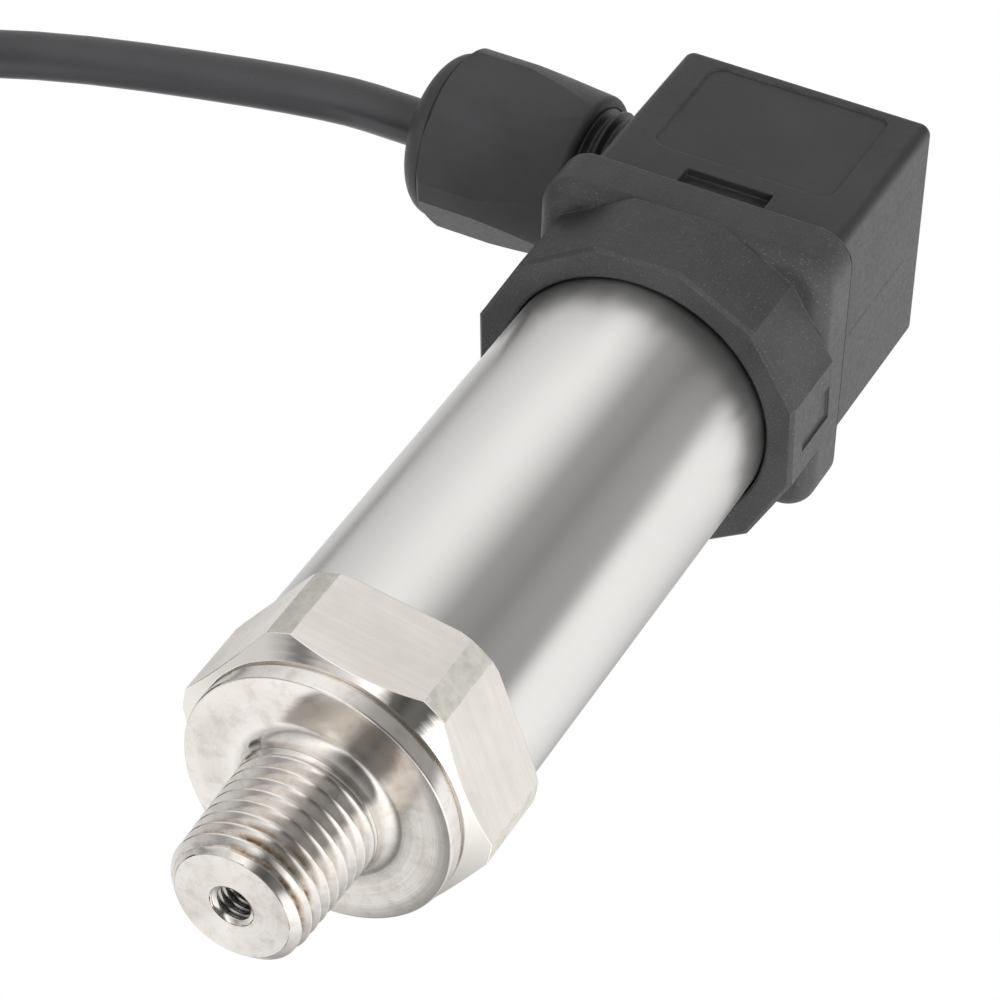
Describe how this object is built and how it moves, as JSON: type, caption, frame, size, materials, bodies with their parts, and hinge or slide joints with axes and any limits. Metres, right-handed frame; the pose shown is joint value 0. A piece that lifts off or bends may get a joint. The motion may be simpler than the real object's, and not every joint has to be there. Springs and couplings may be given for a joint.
{
  "type": "pressure transmitter",
  "caption": "Pressure transmitter with a tapered process thread, hexagon and steel tube, and an angled plug whose cable gland leads to a flying cable.",
  "frame": {"origin": "centre of the process thread's tip", "axes": "+Z from the thread's tip along the tube to the plug's lid; the cable gland points along -X and a label panel faces -Y"},
  "size_m": [0.1384, 0.0355, 0.1611],
  "materials": {
    "fitting_steel": "turned and milled stainless steel, polished",
    "tube_steel": "polished stainless tube with a fine satin grain",
    "base_plastic": "glass-filled, matt and finely speckled",
    "hood_plastic": "satin black moulding",
    "nut_plastic": "satin black moulding",
    "washer_plastic": "smooth",
    "seal_rubber": "matt",
    "gasket_rubber": "matt",
    "cell_ceramic": "fired white ceramic",
    "ring_steel": "turned",
    "board_laminate": "green lacquered laminate",
    "chip_resin": "matt resin",
    "can_aluminium": "drawn can",
    "block_plastic": "matt moulding",
    "plain_brass": "turned",
    "tinned_brass": "tinned",
    "screw_steel": "zinc plated",
    "lead_wire": "tinned wire",
    "cable_jacket": "satin black sheath",
    "tie_plastic": "smooth",
    "core_brown": "smooth insulation",
    "core_blue": "smooth insulation",
    "core_black": "smooth insulation",
    "copper_strand": "bare stranded copper"
  },
  "bodies": {
    "transmitter": {"base_seal": "seal_rubber", "cable": "cable_jacket", "cable_coil": "cable_jacket", "cable_tail": "cable_jacket", "capacitor_1": "can_aluminium", "capacitor_2": "can_aluminium", "cell_lead_1": "lead_wire", "cell_lead_2": "lead_wire", "cell_lead_3": "lead_wire", "cell_lead_4": "lead_wire", "cell_seal": "seal_rubber", "chip_1": "chip_resin", "chip_2": "chip_resin", "circuit_board": "board_laminate", "clamp_ring": "ring_steel", "clamp_screw_1": "screw_steel", "clamp_screw_2": "screw_steel", "clamp_screw_3": "screw_steel", "clamp_screw_4": "screw_steel", "coil_tie_1": "tie_plastic", "coil_tie_2": "tie_plastic", "contact_pin_1": "tinned_brass", "contact_pin_2": "tinned_brass", "contact_pin_3": "tinned_brass", "core_1": "core_brown", "core_2": "core_blue", "core_3": "core_black", "core_end_1": "copper_strand", "core_end_2": "copper_strand", "core_end_3": "copper_strand", "earth_pin": "tinned_brass", "free_core_1": "core_brown", "free_core_2": "core_blue", "free_core_3": "core_black", "gland_grommet": "seal_rubber", "housing_tube": "tube_steel", "pin_lead_1": "lead_wire", "pin_lead_2": "lead_wire", "pin_lead_3": "lead_wire", "plug_base": "base_plastic", "plug_hood": "hood_plastic", "pressure_cell": "cell_ceramic", "process_fitting": "fitting_steel", "profile_gasket": "gasket_rubber", "terminal_1": "tinned_brass", "terminal_2": "tinned_brass", "terminal_3": "tinned_brass", "terminal_4": "tinned_brass", "terminal_block": "block_plastic", "threaded_bush": "plain_brass"},
    "washer": {"slip_washer": "washer_plastic"},
    "nut": {"gland_nut": "nut_plastic"},
    "screw_ring": {"screw_seal": "seal_rubber"},
    "screw": {"centre_screw": "screw_steel"}
  },
  "joints": [
    {"name": "washer_slide", "type": "slide", "parent": "transmitter", "child": "washer", "axis": [-1, 0, 0], "range_m": [0, 0.00282]},
    {"name": "nut_turn", "type": "hinge", "parent": "washer", "child": "nut", "pos_m": [-0.028, 0, 0.1031], "axis": [-1, 0, 0], "range_deg": [0, 720]},
    {"name": "ring_slide", "type": "slide", "parent": "transmitter", "child": "screw_ring", "axis": [0, 0, 1], "range_m": [0, 0.003]},
    {"name": "screw_turn", "type": "hinge", "parent": "screw_ring", "child": "screw", "pos_m": [0, 0, 0.1], "axis": [0, 0, 1], "range_deg": [0, 2160]}
  ],
  "couplings": [
    {"joint": "nut_turn", "follows": "washer_slide", "rad_per_m": 4453},
    {"joint": "screw_turn", "follows": "ring_slide", "rad_per_m": 12566}
  ]
}
